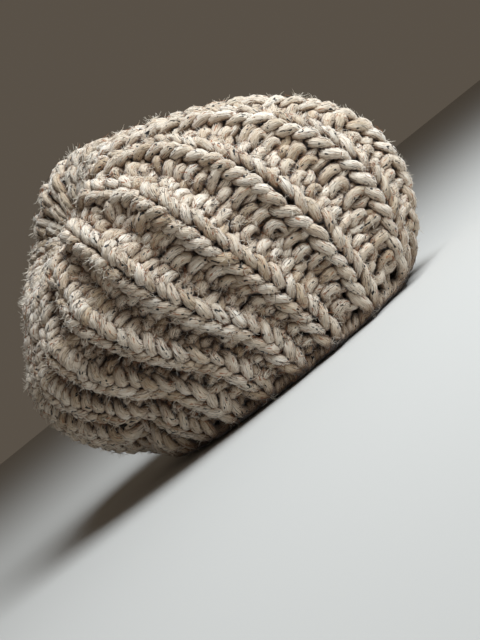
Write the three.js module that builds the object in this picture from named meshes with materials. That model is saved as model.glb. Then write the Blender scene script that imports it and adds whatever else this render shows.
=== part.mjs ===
// Slouchy beanie in super bulky ribbed knitting, resting on its brim.
// Millimetres, +X towards the forehead, -Y towards the wearer's right ear, +Z up from the brim.

import * as THREE from "three";
import { ParametricGeometry } from "three/addons/geometries/ParametricGeometry.js";
import { mergeVertices } from "three/addons/utils/BufferGeometryUtils.js";

// Driving sizes
const BRIM_LENGTH = 221; // outside of the cast-on edge, forehead to nape
const BRIM_WIDTH = 181; // outside of the cast-on edge, ear to ear
const BAG_LENGTH = 330; // from the front of the crown to the back of the slouch
const BAG_WIDTH = 246; // across the bag at its widest
const CROWN_HEIGHT = 225; // from the brim's plane to the top of the crown
const WALL = 14; // thickness of the knitted wall
const RIB_COUNT = 20; // ridges of one knit column, with two purl columns between
const RIB_DEPTH = 9; // from a ridge to the valley beside it, in the bag
const FOLD_DEPTH = 13; // deepest slouch fold
const LOBE_LEAD = 15; // how far the left side of the crown stands past the right
const JOIN_GAP = 0.3; // clearance between two stages of the knitting

// Ribs are wide over the forehead and close together at the nape
const FRONT_SPREAD = 0.36;

// Faces: steps across one rib, and steps along each stage
const STEPS_PER_RIB = 5;
const BAND_STEPS = 3;
const BODY_STEPS = 15;
const GATHER_STEPS = 2;

// One row for each ring of the hat, from the brim to the centre of the crown.
// A ring is a tilted oval. fx, fz and bx, bz are its front and back ends, as shares of
// BAG_LENGTH and CROWN_HEIGHT, and side is its half width as a share of BAG_WIDTH.
// rib and lead are shares of RIB_DEPTH and LOBE_LEAD. twist and fan turn the ribs, in degrees.
const BRIM_X = 0.5 * BRIM_LENGTH / BAG_LENGTH;
const BRIM_SIDE = 0.5 * BRIM_WIDTH / BAG_WIDTH;
const RINGS = [
  { fx: BRIM_X, fz: 0, bx: -BRIM_X, bz: 0, side: BRIM_SIDE, rib: 0.3, lead: 0, twist: 0, fan: 0 },
  { fx: 0.412, fz: 0.133, bx: -0.394, bz: 0.062, side: 0.412, rib: 0.45, lead: 0, twist: 3, fan: -3 },
  { fx: 0.461, fz: 0.276, bx: -0.445, bz: 0.133, side: 0.446, rib: 0.75, lead: 0, twist: 5, fan: -5 },
  { fx: 0.471, fz: 0.418, bx: -0.488, bz: 0.209, side: 0.472, rib: 0.95, lead: 0, twist: 8, fan: -3 },
  { fx: 0.442, fz: 0.569, bx: -0.518, bz: 0.28, side: 0.49, rib: 1.0, lead: 0, twist: 9, fan: -1 },
  { fx: 0.388, fz: 0.68, bx: -0.533, bz: 0.356, side: 0.499, rib: 1.0, lead: 0, twist: 9, fan: 2 },
  { fx: 0.309, fz: 0.778, bx: -0.536, bz: 0.431, side: 0.5, rib: 1.0, lead: 0.1, twist: 7, fan: 5 },
  { fx: 0.212, fz: 0.867, bx: -0.524, bz: 0.507, side: 0.485, rib: 1.0, lead: 0.3, twist: 4, fan: 8 },
  { fx: 0.112, fz: 0.933, bx: -0.494, bz: 0.578, side: 0.445, rib: 1.0, lead: 0.6, twist: 1, fan: 12 },
  { fx: 0.01, fz: 0.978, bx: -0.448, bz: 0.664, side: 0.38, rib: 0.9, lead: 0.85, twist: 0, fan: 11 },
  { fx: -0.087, fz: 0.99, bx: -0.397, bz: 0.747, side: 0.285, rib: 0.7, lead: 1.0, twist: 0, fan: 7 },
  { fx: -0.155, fz: 0.885, bx: -0.292, bz: 0.775, side: 0.115, rib: 0.5, lead: 0.5, twist: 0, fan: 2 },
  { fx: -0.2, fz: 0.765, bx: -0.2, bz: 0.765, side: 0, rib: 0.3, lead: 0, twist: 0, fan: 0 },
];

// Where each stage of the knitting ends, in rings from the brim
const BAND_END = 1.1;
const BODY_END = 11.2;
const CROWN_END = RINGS.length - 1;

// From here to the centre of the crown the ribs and folds run out
const DRAW_START = 10.6;

// Small steps that slopes are measured over, in rings and in degrees
const RING_STEP = 0.05;
const ANGLE_STEP = 0.5;

// Folds and puffs of the slouch. angle is in degrees from the forehead towards the right
// ear, ring is where the middle lies, wide and tall are its half sizes in degrees and
// rings, slant is in rings for each degree, and depth is a share of FOLD_DEPTH, inwards.
const FOLDS = [
  { name: "upper right valley", angle: 108, ring: 6.3, wide: 9, tall: 2.0, slant: 0, depth: 0.8 },
  { name: "lower right valley", angle: 127, ring: 4.6, wide: 8, tall: 2.0, slant: 0, depth: 0.9 },
  { name: "low back valley", angle: 144, ring: 4.2, wide: 7, tall: 1.8, slant: 0, depth: 0.7 },
  { name: "crease over the nape band", angle: 150, ring: 1.95, wide: 26, tall: 0.35, slant: -0.032, depth: 0.5 },
  { name: "right crown puff", angle: 85, ring: 9.3, wide: 45, tall: 0.8, slant: 0, depth: -0.5 },
  { name: "left crown puff", angle: 302, ring: 10.1, wide: 46, tall: 1.1, slant: 0, depth: -1.5 },
  { name: "left crown valley", angle: 286, ring: 6.6, wide: 9, tall: 1.8, slant: 0, depth: 0.7 },
  { name: "left ear valley", angle: 248, ring: 5.2, wide: 9, tall: 2.0, slant: 0, depth: 0.9 },
  { name: "left back crease", angle: 212, ring: 2.2, wide: 24, tall: 0.4, slant: 0.025, depth: 0.4 },
];

const radians = THREE.MathUtils.degToRad;

function ringCurve(first, second) {
  return new THREE.SplineCurve(RINGS.map((ring) => new THREE.Vector2(first(ring), second(ring))));
}

const frontLine = ringCurve((r) => r.fx * BAG_LENGTH, (r) => r.fz * CROWN_HEIGHT);
const backLine = ringCurve((r) => r.bx * BAG_LENGTH, (r) => r.bz * CROWN_HEIGHT);
const sideLine = ringCurve((r) => r.side * BAG_WIDTH, (r) => r.lead * LOBE_LEAD);
const turnLine = ringCurve((r) => r.twist, (r) => r.fan);
const ribLine = ringCurve((r) => r.rib * RIB_DEPTH, (r) => r.rib);

// A point of the smooth hat, without its ribs, at an angle in degrees and a ring
function smoothPoint(angle, ring) {
  const share = ring / CROWN_END;
  const front = frontLine.getPoint(share);
  const back = backLine.getPoint(share);
  const side = sideLine.getPoint(share);
  const half = front.clone().sub(back).multiplyScalar(0.5);
  const lift = half.length() > 0 ? side.y / half.length() : 0;
  const along = Math.cos(radians(angle));
  const across = Math.sin(radians(angle));
  return new THREE.Vector3(
    (front.x + back.x) / 2 + half.x * along + half.y * lift * across,
    -Math.max(side.x, 0) * across,
    (front.y + back.y) / 2 + half.y * along - half.x * lift * across,
  );
}

// The line that the crown is drawn up around
function crownAxis() {
  const share = BODY_END / CROWN_END;
  const half = frontLine.getPoint(share).sub(backLine.getPoint(share)).normalize();
  return new THREE.Vector3(-half.y, 0, half.x);
}

// 0 in the bag and 1 at the centre of the crown, where ribs and folds have run out
function drawnUp(ring) {
  return THREE.MathUtils.smoothstep(ring, DRAW_START, CROWN_END);
}

// The way out of the wall. It is level at the cast-on edge, so that the edge lies flat.
function wayOut(angle, ring) {
  const near = THREE.MathUtils.clamp(ring, RING_STEP, CROWN_END - RING_STEP);
  const around = smoothPoint(angle + ANGLE_STEP, near).sub(smoothPoint(angle - ANGLE_STEP, near));
  const upward = smoothPoint(angle, near + RING_STEP).sub(smoothPoint(angle, near - RING_STEP));
  const out = upward.cross(around).normalize();
  out.z *= THREE.MathUtils.smoothstep(ring, 0, BAND_END);
  return out.normalize().lerp(crownAxis(), drawnUp(ring)).normalize();
}

// Angle of a column of stitches. column runs from 0 to RIB_COUNT, a whole number on a ridge.
function columnAngle(column, ring) {
  const half = (2 * column) / RIB_COUNT;
  const angle = 180 * (half + (FRONT_SPREAD * Math.sin(Math.PI * half)) / Math.PI);
  const turn = turnLine.getPoint(ring / CROWN_END);
  return angle + turn.x - turn.y * Math.sin(radians(2 * angle));
}

function foldDepth(angle, ring) {
  let depth = 0;
  for (const fold of FOLDS) {
    const turned = THREE.MathUtils.euclideanModulo(angle - fold.angle + 180, 360) - 180;
    const along = turned / fold.wide;
    const up = (ring - fold.ring - fold.slant * turned) / fold.tall;
    depth += fold.depth * FOLD_DEPTH * Math.exp(-along * along - up * up);
  }
  return depth;
}

// A point of the knitted wall. layer 0 is its outside and 1 its inside.
function wallPoint(column, ring, layer, target) {
  const angle = columnAngle(column, ring);
  const valley = (1 - Math.cos(2 * Math.PI * column)) / 2;
  const rib = ribLine.getPoint(ring / CROWN_END).x;
  const edge = THREE.MathUtils.smoothstep(ring, 0, BAND_END);
  const relief = (rib * valley + foldDepth(angle, ring) * edge) * (1 - drawnUp(ring));
  const inwards = relief + WALL * layer;
  return target.copy(smoothPoint(angle, ring)).addScaledVector(wayOut(angle, ring), -inwards);
}

// The ring that lies half a joining gap above or below the given one, along this column
function besideJoin(column, ring, side) {
  const low = wallPoint(column, ring - RING_STEP, 0.5, new THREE.Vector3());
  const high = wallPoint(column, ring + RING_STEP, 0.5, new THREE.Vector3());
  return ring + (side * JOIN_GAP * RING_STEP) / low.distanceTo(high);
}

// Corners of the wall's cut, as ring shares and layers: up the inside, then down the outside
function wallLoop(steps) {
  const inside = Array.from({ length: steps + 1 }, (_, i) => ({ share: i / steps, layer: 1 }));
  const outside = inside.map(({ share }) => ({ share: 1 - share, layer: 0 }));
  return [...inside, ...outside, inside[0]];
}

function stageGeometry(from, to, corners) {
  const slices = RIB_COUNT * STEPS_PER_RIB;
  const place = (u, v, target) => {
    const column = (Math.round(u * slices) % slices) / STEPS_PER_RIB;
    const { share, layer } = corners[Math.round(v * (corners.length - 1))];
    const low = from > 0 ? besideJoin(column, from, 1) : from;
    const high = to < CROWN_END ? besideJoin(column, to, -1) : to;
    wallPoint(column, THREE.MathUtils.lerp(low, high, share), layer, target);
  };
  const geometry = new ParametricGeometry(place, slices, corners.length - 1);
  geometry.deleteAttribute("normal");
  geometry.deleteAttribute("uv");
  return withoutEmptyFaces(mergeVertices(geometry));
}

// At the centre of the crown one side of each face has shrunk to a point
function withoutEmptyFaces(geometry) {
  const corners = Array.from(geometry.index.array);
  const kept = [];
  for (let i = 0; i < corners.length; i += 3) {
    const [a, b, c] = corners.slice(i, i + 3);
    if (a !== b && b !== c && c !== a) kept.push(a, b, c);
  }
  geometry.setIndex(kept);
  geometry.computeVertexNormals();
  return geometry;
}

const yarnColour = new THREE.Color("#d9cbb5");

function stage(name, from, to, corners) {
  const wool = new THREE.MeshStandardMaterial({ color: yarnColour, roughness: 0.95, metalness: 0 });
  const mesh = new THREE.Mesh(stageGeometry(from, to, corners), wool);
  mesh.name = name;
  return mesh;
}

const brimBand = stage("brim_band", 0, BAND_END, wallLoop(BAND_STEPS));
const slouchBody = stage("slouch_body", BAND_END, BODY_END, wallLoop(BODY_STEPS));
const crownGather = stage("crown_gather", BODY_END, CROWN_END, wallLoop(GATHER_STEPS));

const hat = new THREE.Group();
hat.add(brimBand, slouchBody, crownGather);

// The origin is the middle of the hat's box, on the surface that it rests on
const box = new THREE.Box3().setFromObject(hat);
hat.position.set(-(box.min.x + box.max.x) / 2, -(box.min.y + box.max.y) / 2, -box.min.z);

export default hat;
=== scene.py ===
# %% [markdown]
# # A slouchy ribbed beanie
# The real hat is knitted in the round from super bulky tweed yarn, a soft roving about 8 mm
# thick. One column of knit stitches stands out as a rib, and two columns of purl stitches
# sink between it and the next. The bag is far longer than a close cap's, so it folds over at
# the back. The frame holds its plain walls, and this script knits the real yarn in their place.

# %% Load the frame
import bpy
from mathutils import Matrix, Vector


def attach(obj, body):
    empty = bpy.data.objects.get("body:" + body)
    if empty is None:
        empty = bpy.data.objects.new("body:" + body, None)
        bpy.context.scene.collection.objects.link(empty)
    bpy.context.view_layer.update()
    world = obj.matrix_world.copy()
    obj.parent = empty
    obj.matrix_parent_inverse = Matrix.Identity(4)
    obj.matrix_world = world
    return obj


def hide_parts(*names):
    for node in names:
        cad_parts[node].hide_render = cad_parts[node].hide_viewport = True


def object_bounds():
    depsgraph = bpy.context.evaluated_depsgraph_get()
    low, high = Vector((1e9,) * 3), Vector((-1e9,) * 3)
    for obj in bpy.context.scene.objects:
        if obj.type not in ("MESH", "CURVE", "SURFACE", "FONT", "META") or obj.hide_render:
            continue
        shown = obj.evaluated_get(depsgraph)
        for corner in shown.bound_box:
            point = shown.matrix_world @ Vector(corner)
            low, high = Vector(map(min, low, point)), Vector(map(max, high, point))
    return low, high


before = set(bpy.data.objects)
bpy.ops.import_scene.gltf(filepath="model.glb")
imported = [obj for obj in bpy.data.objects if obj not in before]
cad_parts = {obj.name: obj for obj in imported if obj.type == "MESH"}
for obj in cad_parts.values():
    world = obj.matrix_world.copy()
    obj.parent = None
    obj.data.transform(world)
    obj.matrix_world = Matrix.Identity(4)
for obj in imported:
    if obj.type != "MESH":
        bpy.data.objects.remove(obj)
cad_box = [list(corner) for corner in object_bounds()]

import math

import bmesh
import bpy
import numpy as np
from mathutils import Matrix, Vector

MM = 0.001               # metres in a millimetre
print("frame box in metres:", cad_box)

# %% [markdown]
# ## Where the camera stands
# The hat was photographed worn, with its brim tilted up towards the forehead. Here it rests
# flat on its brim, so the camera turns about its own view line by that tilt instead, and the
# hat comes out at the photograph's angle. Its place is worked out from two pixels of the
# photograph's 480 by 640 frame and from the size of one pixel on the hat.

# %% Camera
FRAME_PIXELS = Vector((480, 640))
PIXEL = 0.75 * MM                         # size of one pixel at the hat
NAPE_PIXEL = Vector((188, 455))           # the brim's edge at the nape
BROW_PIXEL = Vector((416, 272))           # the brim's edge at the brow
CAMERA_DISTANCE = 0.95                    # metres
AZIMUTH = math.radians(3)                 # how far round the camera stands from the hat's side
ELEVATION = math.radians(2.5)             # how steeply it looks down
SENSOR = 36.0                             # mm
ON_FLOOR = 0.1 * MM                       # what is lower than this lies on the floor

edge = np.array([v.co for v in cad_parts["brim_band"].data.vertices if v.co.z < ON_FLOOR])
edge_low, edge_high = edge.min(0), edge.max(0)
brim_middle = Vector((edge_low + edge_high) / 2)
BRIM_LENGTH, BRIM_WIDTH = [float(v) for v in (edge_high - edge_low)[:2] / MM]
print("brim, mm:", round(BRIM_LENGTH, 1), "by", round(BRIM_WIDTH, 1))

chord = BROW_PIXEL - NAPE_PIXEL
tilt = math.atan2(-chord.y, chord.x)
offset = FRAME_PIXELS / 2 - (NAPE_PIXEL + BROW_PIXEL) / 2
aim = brim_middle + PIXEL * Vector((
    offset.x * math.cos(tilt) - offset.y * math.sin(tilt),
    0,
    -offset.x * math.sin(tilt) - offset.y * math.cos(tilt),
))
view_line = Vector((
    math.sin(AZIMUTH) * math.cos(ELEVATION),
    math.cos(AZIMUTH) * math.cos(ELEVATION),
    -math.sin(ELEVATION),
))
camera = bpy.data.objects.new("camera", bpy.data.cameras.new("camera"))
camera.data.sensor_width = SENSOR
camera.data.lens = SENSOR * CAMERA_DISTANCE / (FRAME_PIXELS.y * PIXEL)
camera.location = aim - view_line * CAMERA_DISTANCE
looking = view_line.to_track_quat("-Z", "Y").to_matrix().to_4x4() @ Matrix.Rotation(-tilt, 4, "Z")
camera.rotation_euler = looking.to_euler()
bpy.context.collection.objects.link(camera)
bpy.context.scene.camera = camera
print("brim tilt, degrees:", round(math.degrees(tilt), 1), "lens, mm:", round(camera.data.lens, 1))

# %% [markdown]
# ## Colours and nodes
# Colours are written as they would be picked on a screen, and one function turns them to the
# linear values that a shader works in. One more function adds a node with its settings, links
# and colour stops, which keeps each material short enough to read.

# %% Helpers for materials
def linear(code):
    """A screen colour such as #D9CBB5, as the linear red, green, blue and alpha of a shader."""
    parts = [int(code[i:i + 2], 16) / 255 for i in (1, 3, 5)]
    return [p / 12.92 if p <= 0.04045 else ((p + 0.055) / 1.055) ** 2.4 for p in parts] + [1.0]


def add_node(tree, kind, inputs=None, stops=(), **settings):
    """Adds a node. An input is given by name or number, as a value or as the socket to link.
    The stops of a colour ramp are its places and screen colours."""
    node = tree.nodes.new(kind)
    for name, value in settings.items():
        setattr(node, name, value)
    for _ in stops[2:]:
        node.color_ramp.elements.new(0.5)
    for i, (place, colour) in enumerate(stops):
        node.color_ramp.elements[i].position = place
        node.color_ramp.elements[i].color = linear(colour)
    for name, value in (inputs or {}).items():
        socket = node.inputs[name]
        if isinstance(value, bpy.types.NodeSocket):
            tree.links.new(value, socket)
        else:
            socket.default_value = value
    return node


def new_material(name):
    """A material with one plain shader, given back with its node tree and that shader."""
    material = bpy.data.materials.new(name)
    material.use_nodes = True
    tree = material.node_tree
    tree.nodes.clear()
    shader = add_node(tree, "ShaderNodeBsdfPrincipled")
    add_node(tree, "ShaderNodeOutputMaterial", {"Surface": shader.outputs["BSDF"]})
    return material, tree, shader


# %% [markdown]
# ## Floor and light
# The photograph was taken outdoors under an even sky, which lights the crown and the brow and
# leaves the folds at the nape darker. A large soft light above the hat stands for the sky and
# is a little blue. A weak one by the camera opens the near side. The world is dim and brown,
# like light that comes back from what stands around, so the shadows turn warm. The floor is a
# wide disc of matt paper.

# %% Floor
FLOOR_RADIUS = 6.0       # metres
floor_mesh = bpy.data.meshes.new("floor")
disc = bmesh.new()
bmesh.ops.create_circle(disc, cap_ends=True, segments=96, radius=FLOOR_RADIUS)
disc.to_mesh(floor_mesh)
disc.free()
floor = bpy.data.objects.new("floor", floor_mesh)
bpy.context.collection.objects.link(floor)
paper, _, paper_shader = new_material("matt_paper")
paper_shader.inputs["Base Color"].default_value = linear("#BDBBB7")
paper_shader.inputs["Roughness"].default_value = 0.9
floor_mesh.materials.append(paper)

# %% Lights
ROOM_COLOUR = "#DCCAB4"
ROOM_STRENGTH = 0.14


def soft_light(name, direction, distance, size, watts, colour):
    """A square light aimed at the hat. Its direction is right, up and towards the camera."""
    lamp = bpy.data.lights.new(name, "AREA")
    lamp.size = size
    lamp.energy = watts
    lamp.color = linear(colour)[:3]
    holder = bpy.data.objects.new(name, lamp)
    middle = (Vector(cad_box[0]) + Vector(cad_box[1])) / 2
    holder.location = middle + looking.to_3x3() @ Vector(direction).normalized() * distance
    holder.rotation_euler = (middle - holder.location).to_track_quat("-Z", "Y").to_euler()
    bpy.context.collection.objects.link(holder)


soft_light("sky_light", (-0.05, 1.0, 0.42), distance=1.2, size=0.8, watts=29.5, colour="#F1F9FF")
soft_light("front_light", (0.5, 0.35, 1.0), distance=1.9, size=0.9, watts=2.8, colour="#FFF8EE")
world = bpy.data.worlds.new("warm_room")
world.use_nodes = True
background = world.node_tree.nodes["Background"]
background.inputs["Color"].default_value = linear(ROOM_COLOUR)
background.inputs["Strength"].default_value = ROOM_STRENGTH
bpy.context.scene.world = world
bpy.context.scene.view_settings.view_transform = "Standard"

# %% [markdown]
# ## The shape of the hat
# A knitted wall follows the hat's form as a net follows what is in it. The form is a stack of
# tilted ovals, one row of the table for each, from the brim to the centre of the crown. The
# plain walls of the frame have the same ovals and folds, so the outline is theirs. The yarn's
# valleys are deeper, because purl stitches lie back, and its front ribs lie a little further
# back, as in the photograph. Every stitch is then given by three numbers: its column round the
# hat, its ring up the hat, and its depth below the surface.

# %% Rings of the hat
BAG_LENGTH = 330.0       # front of the crown to the back of the slouch, mm
BAG_WIDTH = 246.0        # across the bag, mm
CROWN_HEIGHT = 225.0     # from the brim's plane to the top, mm
RIB_COUNT = 20
RIB_DEPTH = 15.5         # from a rib to the valley beside it, at the ears, mm
NAPE_GATHER = 0.35       # how much deeper the close ribs of the nape are, and shallower the brow's
RIB_ROUNDING = 1.35      # how much wider a rib is than the valley beside it
FOLD_DEPTH = 13.0        # deepest fold of the slouch, mm
LOBE_LEAD = 15.0         # how far the left of the crown stands past the right, mm
FRONT_SPREAD = 0.36      # ribs are wide over the brow and close together at the nape
BAND_END = 1.1           # ring where the band ends
DRAW_START = 10.6        # ring where the crown starts to be drawn up
CROWN_RING = 11.2        # ring whose tilt gives the way in which the crown is drawn
RING_STEP = 0.05         # step in rings over which the wall's slope is measured

# front and back ends in shares of BAG_LENGTH and CROWN_HEIGHT, half width in shares of
# BAG_WIDTH, rib and lobe in shares of their sizes, twist and fan of the ribs in degrees
RING_NAMES = ("fx", "fz", "bx", "bz", "side", "rib", "lead", "twist", "fan")
BRIM_X = 0.5 * BRIM_LENGTH / BAG_LENGTH
BRIM_SIDE = 0.5 * BRIM_WIDTH / BAG_WIDTH
RINGS = np.array([
    (BRIM_X, 0, -BRIM_X, 0, BRIM_SIDE, 0.2, 0, 3, -8),
    (0.412, 0.133, -0.394, 0.062, 0.412, 0.35, 0, 6, -10),
    (0.461, 0.276, -0.445, 0.133, 0.446, 0.6, 0, 7.5, -11),
    (0.471, 0.418, -0.488, 0.209, 0.472, 0.85, 0, 10, -8),
    (0.442, 0.569, -0.518, 0.280, 0.490, 1.0, 0, 11, -5.7),
    (0.388, 0.680, -0.533, 0.356, 0.499, 1.0, 0, 11, -2.7),
    (0.309, 0.778, -0.536, 0.431, 0.500, 1.0, 0.1, 9, 0.3),
    (0.212, 0.867, -0.524, 0.507, 0.485, 1.0, 0.3, 6, 3.3),
    (0.112, 0.933, -0.494, 0.578, 0.445, 1.0, 0.6, 3, 7.3),
    (0.010, 0.978, -0.448, 0.664, 0.380, 0.75, 0.85, 2, 6.5),
    (-0.087, 0.990, -0.397, 0.747, 0.285, 0.45, 1.0, 0, 7),
    (-0.155, 0.885, -0.292, 0.775, 0.115, 0.2, 0.5, 0, 2),
    (-0.200, 0.765, -0.200, 0.765, 0, 0.1, 0, 0, 0),
])
LAST_RING = len(RINGS) - 1

# middle angle and ring, half sizes in degrees and rings, slant in rings for each degree, and
# depth in shares of FOLD_DEPTH, where less than nothing is a puff
FOLDS = {
    "upper right valley": (108, 6.3, 9, 2.0, 0, 0.6),
    "lower right valley": (127, 4.6, 8, 2.0, 0, 0.7),
    "low back valley": (144, 4.2, 7, 1.8, 0, 0.5),
    "crease over the nape band": (150, 1.95, 26, 0.35, -0.032, 0.9),
    "right crown puff": (85, 9.3, 45, 0.8, 0, -0.5),
    "left crown puff": (302, 10.1, 46, 1.1, 0, -1.3),
    "left crown valley": (286, 6.6, 9, 1.8, 0, 0.5),
    "left ear valley": (248, 5.2, 9, 2.0, 0, 0.7),
    "left back crease": (212, 2.2, 24, 0.4, 0.025, 0.6),
}


def smoothstep(value, low, high):
    """Rises from 0 to 1 between low and high, with no corner."""
    share = np.clip((value - low) / (high - low), 0, 1)
    return share * share * (3 - 2 * share)


def at_ring(name, ring):
    """One column of the ring table, read off a smooth curve through its rows."""
    values = RINGS[:, RING_NAMES.index(name)]
    below = np.clip(np.floor(ring).astype(int), 0, LAST_RING - 1)
    t = ring - below
    p0, p1, p2, p3 = (values[np.clip(below + step, 0, LAST_RING)] for step in (-1, 0, 1, 2))
    bend = (2 * p0 - 5 * p1 + 4 * p2 - p3) * t ** 2 + (3 * p1 - p0 - 3 * p2 + p3) * t ** 3
    return p1 + 0.5 * ((p2 - p0) * t + bend)


def smooth_point(angle, ring):
    """The hat without ribs, in mm from the brim's middle, at angles in degrees and rings."""
    front_x, back_x = at_ring("fx", ring) * BAG_LENGTH, at_ring("bx", ring) * BAG_LENGTH
    front_z, back_z = at_ring("fz", ring) * CROWN_HEIGHT, at_ring("bz", ring) * CROWN_HEIGHT
    half_x, half_z = (front_x - back_x) / 2, (front_z - back_z) / 2
    lift = at_ring("lead", ring) * LOBE_LEAD / np.maximum(np.hypot(half_x, half_z), 1e-6)
    along, across = np.cos(np.radians(angle)), np.sin(np.radians(angle))
    return np.stack([
        (front_x + back_x) / 2 + half_x * along + half_z * lift * across,
        -np.maximum(at_ring("side", ring), 0) * BAG_WIDTH * across,
        (front_z + back_z) / 2 + half_z * along - half_x * lift * across,
    ], axis=-1)


def unit(vectors):
    """The same directions, all of length 1."""
    return vectors / np.maximum(np.linalg.norm(vectors, axis=-1, keepdims=True), 1e-9)


def way_out(angle, ring):
    """The outward direction of the wall. It is level at the brim, so that the edge lies flat."""
    near = np.clip(ring, RING_STEP, LAST_RING - RING_STEP)
    around = smooth_point(angle + 0.5, near) - smooth_point(angle - 0.5, near)
    upward = smooth_point(angle, near + RING_STEP) - smooth_point(angle, near - RING_STEP)
    out = unit(np.cross(upward, around))
    out[..., 2] *= smoothstep(ring, 0, BAND_END)
    ends = smooth_point(np.array([0.0, 180.0]), np.array([CROWN_RING, CROWN_RING]))
    lean = unit(ends[0] - ends[1])
    axis = np.array([-lean[2], 0, lean[0]])
    drawn = smoothstep(ring, DRAW_START, LAST_RING)[..., None]
    return unit(unit(out) * (1 - drawn) + axis * drawn)


def column_angle(column, ring):
    """The angle of a column of stitches. A whole number is the middle of a rib."""
    half = 2 * column / RIB_COUNT
    angle = 180 * (half + FRONT_SPREAD * np.sin(np.pi * half) / np.pi)
    fan = at_ring("fan", ring) * np.sin(np.radians(2 * angle))
    return angle + at_ring("twist", ring) - fan


def fold_depth(angle, ring):
    """How far the folds press the wall in, in mm."""
    depth = np.zeros_like(angle)
    for middle, height, wide, tall, slant, share in FOLDS.values():
        away = (angle - middle + 180) % 360 - 180
        up = (ring - height - slant * away) / tall
        depth += share * FOLD_DEPTH * np.exp(-(away / wide) ** 2 - up ** 2)
    return depth


def hat_point(column, ring, depth):
    """A place in the knitted wall, in metres in the frame, depth in mm below its surface."""
    column, ring, depth = np.broadcast_arrays(*(np.asarray(v, float) for v in (column, ring, depth)))
    angle = column_angle(column, ring)
    gathered = 1 - NAPE_GATHER * np.cos(2 * np.pi * column / RIB_COUNT)
    valley = gathered * ((1 - np.cos(2 * np.pi * column)) / 2) ** RIB_ROUNDING
    relief = at_ring("rib", ring) * RIB_DEPTH * valley
    relief = relief + fold_depth(angle, ring) * smoothstep(ring, 0, BAND_END)
    relief = relief * (1 - smoothstep(ring, DRAW_START, LAST_RING))
    place = smooth_point(angle, ring) - way_out(angle, ring) * (relief + depth)[..., None]
    return place * MM + np.array(brim_middle)


print("top of the crown, mm:", np.round(hat_point(0, 9.5, 0) / MM))

# %% [markdown]
# ## One stitch
# A stitch is a loop like the Greek letter omega. Its yarn comes in low between two stitches,
# narrows at the neck, swings out to the shoulder, goes round the head and comes down again.
# On a knit stitch the legs lie in front and the head behind, so a column of them reads as a
# plait. On a purl stitch it is the other way round, and the heads show as bumps. Eight points
# for each stitch are enough, because a smooth spline carries the yarn through them.

# %% Rows of stitches
YARN = 8.2               # thickness of the yarn, mm
KNIT_WIDTH = 22.0        # width of a knit column, mm, as far as the rib leaves room for it
KNIT_LEAST, KNIT_MOST = 0.42, 0.64        # share of a rib that its knit column takes
ROW_RINGS = 0.43         # height of a row, in rings
FIRST_ROW = 0.56         # ring of the first row's middle
ROW_COUNT = 26
LOOP_REACH = 0.86        # half height of a loop, in rows
ONE_PURL_FROM = 9.0      # ring where the two purl columns are worked into one
NO_PURL_FROM = 11.2      # ring where the last purl column goes
POINTS = 8               # points on one stitch

# how a knit and a purl stitch are laid
LAID = {
    # swing of the neck and shoulder, in stitch widths
    "swing": {"knit": 0.23, "purl": 0.27},
    # half of the way from the front layer of yarn to the back one, mm
    "depth": {"knit": 3.9, "purl": 3.3},
    # how far the head stands out past the yarn between stitches, as a share of that depth
    "head": {"knit": 0.0, "purl": 0.45},
    # how much deeper the whole stitch lies, mm
    "sink": {"knit": 0.0, "purl": 3.0},
    # how unevenly stitches lie: sideways and leaning in stitch widths, up in rows, in their
    # swing as a share, and in depth in mm
    "shift": {"knit": 0.03, "purl": 0.10},
    "lean": {"knit": 0.05, "purl": 0.24},
    "rise": {"knit": 0.05, "purl": 0.15},
    "uneven": {"knit": 0.15, "purl": 0.25},
    "rough": {"knit": 0.6, "purl": 1.1},
}
LOOP_UNEVEN = 0.08       # how unevenly high the loops are, as a share
STRETCHED = 0.06         # how much thinner yarn is where it lies in front, and thicker behind
STITCH_UNEVEN = 0.06     # how unevenly thick the yarn is from stitch to stitch
POINT_UNEVEN = 0.05      # how unevenly thick it is along one stitch

# a spline passes inside its points, by these factors for a wave of four or of eight points
PULL_FOUR = 4 / 6
PULL_EIGHT = (4 + math.sqrt(2)) / 6


def knit_share(rib, ring):
    """A knit column keeps its width, and the purl columns take what is left of the rib."""
    left, right = (smooth_point(column_angle(np.array([rib + side]), ring), ring) for side in (-0.5, 0.5))
    room = np.linalg.norm(right - left, axis=-1)
    return float(np.clip(KNIT_WIDTH / room, KNIT_LEAST, KNIT_MOST)[0])


def row_stitches(ring):
    """The stitches of a row, as middles in columns, widths in columns and sides."""
    stitches = []
    for rib in range(RIB_COUNT):
        knit = knit_share(rib, np.array([float(ring)]))
        if ring < ONE_PURL_FROM:
            purl = (1 - knit) / 2
            stitches.append((rib, knit, 1))
            stitches += [(rib + 0.5 + side * purl / 2, purl, -1) for side in (-1, 1)]
        elif ring < NO_PURL_FROM:
            stitches += [(rib, knit, 1), (rib + 0.5, 1 - knit, -1)]
        else:
            stitches += [(rib, 1.0, 1)]
    return np.array(stitches, float)


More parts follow.
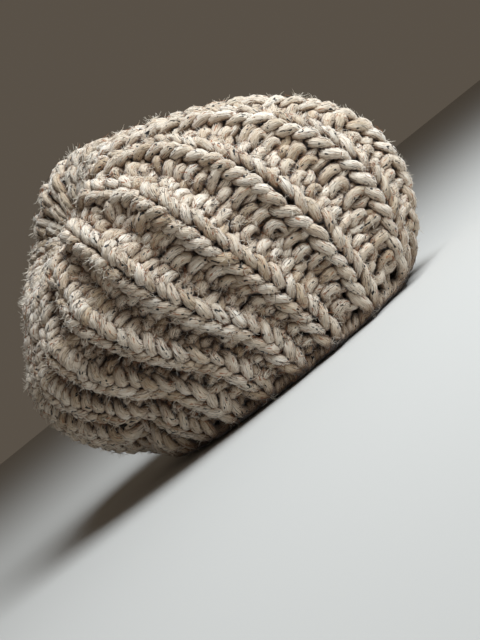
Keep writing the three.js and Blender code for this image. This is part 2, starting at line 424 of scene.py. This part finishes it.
def row_path(row, luck):
    """The spline points of one row, as columns, rings and depths, and their thickness."""
    level = FIRST_ROW + row * ROW_RINGS
    stitches = row_stitches(level)
    count = len(stitches)
    turn = 2 * np.pi * (np.arange(POINTS) / POINTS - 0.5)
    middle, width, side = (stitches[:, i, None] for i in range(3))

    def laid(name):
        return np.where(side > 0, LAID[name]["knit"], LAID[name]["purl"])

    def chance(*shape):
        return np.clip(luck.standard_normal((count, *(shape or (1,)))), -2, 2)

    swing = laid("swing") / PULL_FOUR * (1 + laid("uneven") * chance())
    lean = laid("lean") * chance() * (1 + np.cos(turn)) / 2
    across = turn / (2 * np.pi) + swing * np.sin(2 * turn) + laid("shift") * chance() + lean
    column = middle + width * across
    reach = LOOP_REACH / PULL_EIGHT * (1 + LOOP_UNEVEN * chance())
    ring = level + ROW_RINGS * (reach * np.cos(turn) + laid("rise") * chance())
    layer = side * np.cos(2 * turn) / PULL_FOUR - laid("head") * np.cos(turn)
    changes = (np.roll(side, 1, axis=0) != side)[:, 0]
    layer[changes, 0] = 0        # halfway, where the yarn passes from one face to the other
    # one half of the roughness moves the whole stitch, the other each point by itself
    rough = laid("rough") * (0.6 * chance() + 0.6 * chance(POINTS))
    depth = YARN / 2 + laid("sink") + laid("depth") * (1 + layer) + rough
    thickness = 1 - STRETCHED * side * np.cos(2 * turn)
    thickness = thickness + STITCH_UNEVEN * chance() + POINT_UNEVEN * chance(POINTS)
    return column.ravel(), ring.ravel(), depth.ravel(), thickness.ravel()


print("stitches in the first row:", len(row_stitches(0.5)), "and in the last:", len(row_stitches(11)))

# %% [markdown]
# ## Yarn from a spline
# Each row becomes a closed spline with a small section swept along it. The section is a
# little flatter than round and turns as it goes, once in about 54 mm, which is the soft twist
# of a roving. The sweep brings its own UV map, along the yarn and round it, and its length is
# then set to real metres so that fibres and flecks keep their size.

# %% Yarn maker
TWIST_LENGTH = 54 * MM   # length in which the roving turns once
SIDES = 8                # of the section
FLATTEN = 0.07           # how far the section is from round, as a share
SPLINE_STEPS = 3         # steps of the sweep from one point to the next
MAP_STEP = 0.371         # metres of map between the starts of two rows, so that none look alike
LUCK_SEED = 7            # seed for all the small differences between stitches

section_curve = bpy.data.curves.new("yarn_section", "CURVE")
section_line = section_curve.splines.new("POLY")
section_line.points.add(SIDES - 1)
for i, point in enumerate(section_line.points):
    turn = 2 * math.pi * i / SIDES
    wide, flat = 1 + FLATTEN, 1 - FLATTEN
    point.co = (YARN * MM / 2 * wide * math.cos(turn), YARN * MM / 2 * flat * math.sin(turn), 0, 1)
section_line.use_cyclic_u = True
yarn_section = bpy.data.objects.new("yarn_section", section_curve)


def lengths_along(points):
    """How far along a closed path each of its points lies, and the whole way round."""
    steps = np.linalg.norm(np.roll(points, -1, axis=0) - points, axis=1)
    along = np.concatenate([[0], np.cumsum(steps)])
    return along[:-1], along[-1]


def add_spline(curve, points, thickness):
    """Adds one smooth closed spline along points, turning as a twisted yarn does."""
    spline = curve.splines.new("NURBS")
    spline.points.add(len(points) - 1)
    spline.points.foreach_set("co", np.c_[points, np.ones(len(points))].ravel())
    spline.points.foreach_set("radius", thickness)
    along, whole = lengths_along(points)
    turns = max(round(whole / TWIST_LENGTH), 1)
    spline.points.foreach_set("tilt", 2 * math.pi * turns * along / whole)
    spline.use_cyclic_u = True
    spline.order_u = 4
    spline.resolution_u = SPLINE_STEPS
    return whole


def swept_object(name, curve, section):
    """Turns a curve, with its section swept along it, into a mesh object in the scene."""
    swept = bpy.data.objects.new(name + "_path", curve)
    for part in (swept, section):
        bpy.context.collection.objects.link(part)
    depsgraph = bpy.context.evaluated_depsgraph_get()
    mesh = bpy.data.meshes.new_from_object(swept.evaluated_get(depsgraph), depsgraph=depsgraph)
    mesh.name = name
    bpy.data.objects.remove(swept)
    bpy.context.collection.objects.unlink(section)
    piece = bpy.data.objects.new(name, mesh)
    bpy.context.collection.objects.link(piece)
    return piece


def yarn_mesh(name, paths):
    """Sweeps the section along each path and returns the closed, smooth, mapped mesh object."""
    curve = bpy.data.curves.new(name, "CURVE")
    curve.dimensions = "3D"
    curve.bevel_mode = "OBJECT"
    curve.bevel_object = yarn_section
    wholes = [add_spline(curve, points, thickness) for points, thickness in paths]
    piece = swept_object(name, curve, yarn_section)
    set_real_lengths(piece.data, [len(points) for points, _ in paths], wholes)
    return piece


def set_real_lengths(mesh, point_counts, wholes):
    """Stretches each yarn's map to its length in metres, and starts each at another place."""
    layer = mesh.uv_layers[0]
    layer.name = "yarn"
    places = np.zeros(len(layer.data) * 2, np.float32)
    layer.data.foreach_get("uv", places)
    places = places.reshape(-1, 2)
    start = 0
    for i, (count, whole) in enumerate(zip(point_counts, wholes)):
        end = start + count * SPLINE_STEPS * SIDES * 4
        places[start:end, 0] = places[start:end, 0] * whole + MAP_STEP * i
        start = end
    layer.data.foreach_set("uv", places.ravel())
    mesh.polygons.foreach_set("use_smooth", np.ones(len(mesh.polygons), bool))


# %% [markdown]
# ## Knitting the hat
# Rows are gathered into a few pieces, each light enough to keep as one mesh: the band, the low,
# middle and high part of the bag, and the crown. A real row runs on into the next as a
# spiral. Here each row is closed, because the step from row to row would hardly show.

# %% Knit the rows
STAGES = {
    "brim_band_yarn": (range(0, 2), "brim_band"),
    "slouch_yarn_low": (range(2, 9), "slouch_body"),
    "slouch_yarn_middle": (range(9, 16), "slouch_body"),
    "slouch_yarn_high": (range(16, 24), "slouch_body"),
    "crown_yarn": (range(24, ROW_COUNT), "crown_gather"),
}
CLEAR_OF_FLOOR = 1.3     # least height of the yarn's middle, in half thicknesses
FIRST_RING, TOP_RING = 0.1, LAST_RING - 0.05        # no stitch reaches past these rings

luck = np.random.default_rng(LUCK_SEED)
places, ways, depths = [], [], []
knitted = {}
for name, (rows, node) in STAGES.items():
    paths = []
    for row in rows:
        column, ring, depth, thickness = row_path(row, luck)
        ring = np.clip(ring, FIRST_RING, TOP_RING)
        points = hat_point(column, ring, depth)
        points[:, 2] = np.maximum(points[:, 2], YARN * MM / 2 * CLEAR_OF_FLOOR)
        paths.append((points, thickness))
        places.append(points)
        ways.append(way_out(column_angle(column, ring), ring))
        depths.append(depth)
    piece = yarn_mesh(name, paths)
    knitted[name] = piece
    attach(piece, "root")
    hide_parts(node)
    piece.data.calc_loop_triangles()
    print(name, "rows", len(paths), "triangles", len(piece.data.loop_triangles))

# %% [markdown]
# ## Cast-on edge
# A cast-on edge is two strands that wind round each other, once for each stitch. It is the
# edge that the hat rests on, so its lowest point touches the floor.

# %% Cast-on edge
STRAND = 6.6             # thickness of a cast-on strand, mm
EDGE_REACH = 2.7         # from the middle of the edge to the middle of a strand, mm
EDGE_POINTS = 7          # points on each turn
EDGE_CLEAR = 1.08        # least height of a strand's middle, in half thicknesses
EDGE_UNEVEN = 0.05       # how unevenly thick the strands are

edge_paths = []
edge_turns = len(row_stitches(0.5))
for side in (0, np.pi):
    share = np.arange(edge_turns * EDGE_POINTS) / (edge_turns * EDGE_POINTS)
    wind = 2 * np.pi * edge_turns * share + side
    points = hat_point(share * RIB_COUNT, 0.0 * share, YARN + EDGE_REACH * np.cos(wind))
    points[:, 2] = (STRAND / 2 * EDGE_CLEAR + EDGE_REACH * (1 + np.sin(wind))) * MM
    thickness = STRAND / YARN * (1 + EDGE_UNEVEN * luck.standard_normal(len(share)))
    edge_paths.append((points, thickness))
cast_on = yarn_mesh("cast_on_edge_yarn", edge_paths)
knitted["cast_on_edge_yarn"] = cast_on
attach(cast_on, "root")
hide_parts("brim_band")
print("lowest point of the edge, mm:", round(min(v.co.z for v in cast_on.data.vertices) / MM, 2))

# %% [markdown]
# ## Loose fibres
# Roving is so softly spun that fibres stand out of it all over. Most are cream and curl out
# for a few millimetres. The dark and the rust wool of the tweed send out longer, wirier ones
# that lie over the stitches. They could be hair particles, but those don't export, so each is
# a thin closed tube. Real ones are 0.03 mm thick, and fewer, thicker ones give a like haze.

# %% Loose fibres
HALO = {
    # how many, thickness, shortest and longest in mm, how steeply they leave the yarn, how curly
    "cream_fibres": (13500, 0.26, 2.5, 6.5, 0.75, 0.8),
    "dark_fibres": (4200, 0.34, 3.0, 8.0, 0.12, 0.9),
    "rust_fibres": (3600, 0.32, 3.0, 8.0, 0.14, 0.9),
}
FRONT_LAYER = 6.5        # fibres show from yarn that lies no deeper than this, mm
FIBRE_POINTS = 3         # points on one fibre
FIBRE_SIDES = 3          # of its section
TAPER = (1.2, 0.6)       # thickness at its root and its tip, as shares
hair_curve = bpy.data.curves.new("fibre_section", "CURVE")
hair_line = hair_curve.splines.new("POLY")
hair_line.points.add(FIBRE_SIDES - 1)
for i, point in enumerate(hair_line.points):
    turn = 2 * math.pi * i / FIBRE_SIDES
    point.co = (MM / 2 * math.cos(turn), MM / 2 * math.sin(turn), 0, 1)
hair_line.use_cyclic_u = True
fibre_section = bpy.data.objects.new("fibre_section", hair_curve)


def spline_middles(points, share):
    """Places on the curve of a closed row of spline points, one between each two points."""
    before, here, after, beyond = (np.roll(points, -step, axis=0) for step in (-1, 0, 1, 2))
    t = share[:, None]
    weights = ((1 - t) ** 3, 3 * t ** 3 - 6 * t ** 2 + 4,
               -3 * t ** 3 + 3 * t ** 2 + 3 * t + 1, t ** 3)
    return sum(w * q for w, q in zip(weights, (before, here, after, beyond))) / 6


def loose_fibres(name, count, thickness, shortest, longest, steepness, curliness):
    """Fine curved hairs from places all over the yarn, as one mesh of thin closed tubes."""
    starts = np.concatenate([spline_middles(points, luck.random(len(points))) for points in places])
    chosen = luck.choice(np.flatnonzero(np.concatenate(depths) < FRONT_LAYER), count)
    start, outward = starts[chosen], np.concatenate(ways)[chosen]
    anyway = unit(luck.standard_normal((count, 3)))
    sideways = unit(anyway - outward * (anyway * outward).sum(1, keepdims=True))
    across = np.cross(outward, sideways)
    # each leaves the yarn at a slope of its own, sways to one side and curls back down a little
    length = luck.uniform(shortest, longest, (count, 1)) * MM
    rise = luck.uniform(0.3, 1.3, (count, 1)) * steepness
    curl = (luck.uniform(-1, 1, (count, 1)) * across - 0.4 * rise * outward) * curliness
    base = start + (0.9 * outward + 0.25 * sideways) * YARN / 2 * MM
    curve = bpy.data.curves.new(name, "CURVE")
    curve.dimensions = "3D"
    curve.bevel_mode = "OBJECT"
    curve.bevel_object = fibre_section
    curve.use_fill_caps = True
    steps = np.linspace(0, 1, FIBRE_POINTS)
    leaving = sideways + rise * outward
    shape = [base + length * (leaving * s + curl * np.sin(2.6 * s)) for s in steps]
    for hair in np.stack(shape, axis=1):
        hair[:, 2] = np.maximum(hair[:, 2], thickness * MM)
        line = curve.splines.new("POLY")
        line.points.add(FIBRE_POINTS - 1)
        line.points.foreach_set("co", np.c_[hair, np.ones(FIBRE_POINTS)].ravel())
        line.points.foreach_set("radius", np.linspace(*TAPER, FIBRE_POINTS) * thickness)
    piece = swept_object(name, curve, fibre_section)
    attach(piece, "root")
    piece.data.calc_loop_triangles()
    print(name, "triangles", len(piece.data.loop_triangles))
    return piece


halo = {name: loose_fibres(name, *sizes) for name, sizes in HALO.items()}

# %% [markdown]
# ## Tweed roving
# The yarn is a carded wool blend, spun softly so that its fibres lie nearly along it. Three
# things give its look: long fine streaks of cream and tan, small flecks of near-black and
# rust wool carded in with the rest, and a dull, slightly glowing surface of loose fibre.
# The map along the yarn is rolled up into a cylinder here, so that no seam shows, and turned
# with the twist, so that streaks run as the fibres do. Real fibres are 0.03 mm thick, far
# finer than a pixel, so the streaks are drawn about 0.6 mm wide. Little light gets in between
# the stitches, and it comes back brown from wool to wool, so painted shade darkens and warms
# the base colour in the hollows, read from an ambient occlusion node.

# %% Yarn material
def map_to_yarn(tree):
    """Places on a straight piece of the yarn, in mm, turned with the twist."""
    mapped = add_node(tree, "ShaderNodeUVMap", uv_map="yarn")
    parts = add_node(tree, "ShaderNodeSeparateXYZ", {0: mapped.outputs["UV"]})
    along = add_node(tree, "ShaderNodeMath", {0: parts.outputs["X"], 1: 1 / MM}, operation="MULTIPLY")
    twist = add_node(tree, "ShaderNodeMath", {
        0: parts.outputs["X"], 1: -2 * math.pi / TWIST_LENGTH,
    }, operation="MULTIPLY")
    angle = add_node(tree, "ShaderNodeMath", {
        0: parts.outputs["Y"], 1: 2 * math.pi, 2: twist.outputs[0],
    }, operation="MULTIPLY_ADD")
    across = []
    for operation in ("COSINE", "SINE"):
        wave = add_node(tree, "ShaderNodeMath", {0: angle.outputs[0]}, operation=operation)
        across.append(add_node(tree, "ShaderNodeMath", {
            0: wave.outputs[0], 1: YARN / 2,
        }, operation="MULTIPLY"))
    return add_node(tree, "ShaderNodeCombineXYZ", {
        "X": across[0].outputs[0], "Y": across[1].outputs[0], "Z": along.outputs[0],
    }).outputs[0]


def streaks(tree, place, width, length, detail=2.0, seed=0.0):
    """Noise in streaks of this width and length in mm, along the fibres."""
    stretched = add_node(tree, "ShaderNodeMapping", {
        "Vector": place,
        "Scale": (1 / width, 1 / width, 1 / length),
        "Location": (seed, seed * 1.7, seed * 2.3),
    })
    noise = add_node(tree, "ShaderNodeTexNoise", {
        "Vector": stretched.outputs[0], "Scale": 1.0, "Detail": detail, "Roughness": 0.6,
    })
    return noise.outputs["Fac"]


def flecks(tree, place, width, length, share, seed):
    """A mask of small dashes. share is how high the noise must rise to leave a dash."""
    value = streaks(tree, place, width, length, 1.0, seed)
    edge = add_node(tree, "ShaderNodeMapRange", {
        "Value": value, "From Min": share, "From Max": share + 0.03,
    })
    return edge.outputs["Result"]


# sRGB colours of the streaks, from the hollows between fibres to the lit ones on top
PLY_COLOURS = [(0.28, "#BFA88E"), (0.46, "#DDCCB7"), (0.60, "#EBE2D3"), (0.75, "#F9F6EE")]
FIBRE_COLOURS = [(0.30, "#99806A"), (0.45, "#DDCDB9"), (0.66, "#FBF8F2")]
DRIFT_COLOURS = [(0.35, "#D8CCBB"), (0.62, "#FFFFFF")]

# flecks of other wool: width and length in mm, how rare, seed and colour
FLECKS = {
    "rust wool": (1.4, 5.0, 0.66, 41.0, "#A9795A"),
    "brown strands": (0.6, 7.0, 0.63, 53.0, "#6A5B4F"),
    "near-black neps": (2.4, 3.4, 0.665, 67.0, "#1C1816"),
}

# painted shade: how much of its colour the wool keeps, from deep between stitches to the open,
# darkened and warmed where the hollows get little light
PAINTED_SHADE_REACH = 18.0      # how far round it a hollow is felt, mm
PAINTED_SHADE_COLOURS = [(0.06, "#20110A"), (0.28, "#765840"), (0.43, "#CFB89F"), (0.60, "#FFFFFF")]


def tweed_roving():
    """Carded wool blend, softly spun: dull, streaky along the fibres, with flecks of dark wool."""
    material, tree, shader = new_material("oatmeal_tweed_roving")
    place = map_to_yarn(tree)
    fibres = streaks(tree, place, width=0.55, length=5.0, detail=3.0)
    plies = streaks(tree, place, width=2.8, length=16.0, seed=11.0)
    drift = streaks(tree, place, width=40.0, length=60.0, detail=1.0, seed=23.0)
    tufts = streaks(tree, place, width=1.6, length=2.4, detail=3.0, seed=83.0)

    coarse = add_node(tree, "ShaderNodeValToRGB", {"Fac": plies}, stops=PLY_COLOURS)
    fine = add_node(tree, "ShaderNodeValToRGB", {"Fac": fibres}, stops=FIBRE_COLOURS)
    slow = add_node(tree, "ShaderNodeValToRGB", {"Fac": drift}, stops=DRIFT_COLOURS)
    streaked = add_node(tree, "ShaderNodeMix", {
        "Factor": 0.5, "A": coarse.outputs["Color"], "B": fine.outputs["Color"],
    }, data_type="RGBA")
    wool = add_node(tree, "ShaderNodeMix", {
        "Factor": 1.0, "A": streaked.outputs["Result"], "B": slow.outputs["Color"],
    }, data_type="RGBA", blend_type="MULTIPLY")
    for width, length, share, seed, colour in FLECKS.values():
        wool = add_node(tree, "ShaderNodeMix", {
            "Factor": flecks(tree, place, width, length, share, seed),
            "A": wool.outputs["Result"], "B": linear(colour),
        }, data_type="RGBA")
    # painted shade: an ambient occlusion node darkens and warms the base colour in the hollows between
    # stitches
    occlusion = add_node(tree, "ShaderNodeAmbientOcclusion", {"Distance": PAINTED_SHADE_REACH * MM}, samples=6)
    painted_shade = add_node(tree, "ShaderNodeValToRGB", {"Fac": occlusion.outputs["AO"]}, stops=PAINTED_SHADE_COLOURS)
    shaded = add_node(tree, "ShaderNodeMix", {
        "Factor": 1.0, "A": wool.outputs["Result"], "B": painted_shade.outputs["Color"],
    }, data_type="RGBA", blend_type="MULTIPLY")
    tree.links.new(shaded.outputs["Result"], shader.inputs["Base Color"])

    plied = add_node(tree, "ShaderNodeBump", {
        "Height": plies, "Distance": 1.6 * MM, "Strength": 0.8,
    })
    tufted = add_node(tree, "ShaderNodeBump", {
        "Height": tufts, "Distance": 1.4 * MM, "Strength": 0.7, "Normal": plied.outputs["Normal"],
    })
    hairy = add_node(tree, "ShaderNodeBump", {
        "Height": fibres, "Distance": 0.9 * MM, "Strength": 0.9, "Normal": tufted.outputs["Normal"],
    })
    tree.links.new(hairy.outputs["Normal"], shader.inputs["Normal"])
    shader.inputs["Roughness"].default_value = 0.92              # wool hardly shines
    shader.inputs["Specular IOR Level"].default_value = 0.25
    shader.inputs["Sheen Weight"].default_value = 0.35           # its fuzz glows at the edges
    shader.inputs["Sheen Roughness"].default_value = 0.5
    return material


def wool_fibre(name, colour):
    """A single wool fibre, smoother than the yarn, so it catches a little light."""
    material, _, shader = new_material(name)
    shader.inputs["Base Color"].default_value = linear(colour)
    shader.inputs["Roughness"].default_value = 0.6
    return material


roving = tweed_roving()
for piece in knitted.values():
    piece.data.materials.append(roving)
for wool, colour in {"cream": "#E9DFCF", "dark": "#3A2E27", "rust": "#95603C"}.items():
    halo[wool + "_fibres"].data.materials.append(wool_fibre(wool + "_wool_fibre", colour))
print("materials:", sorted(material.name for material in bpy.data.materials))
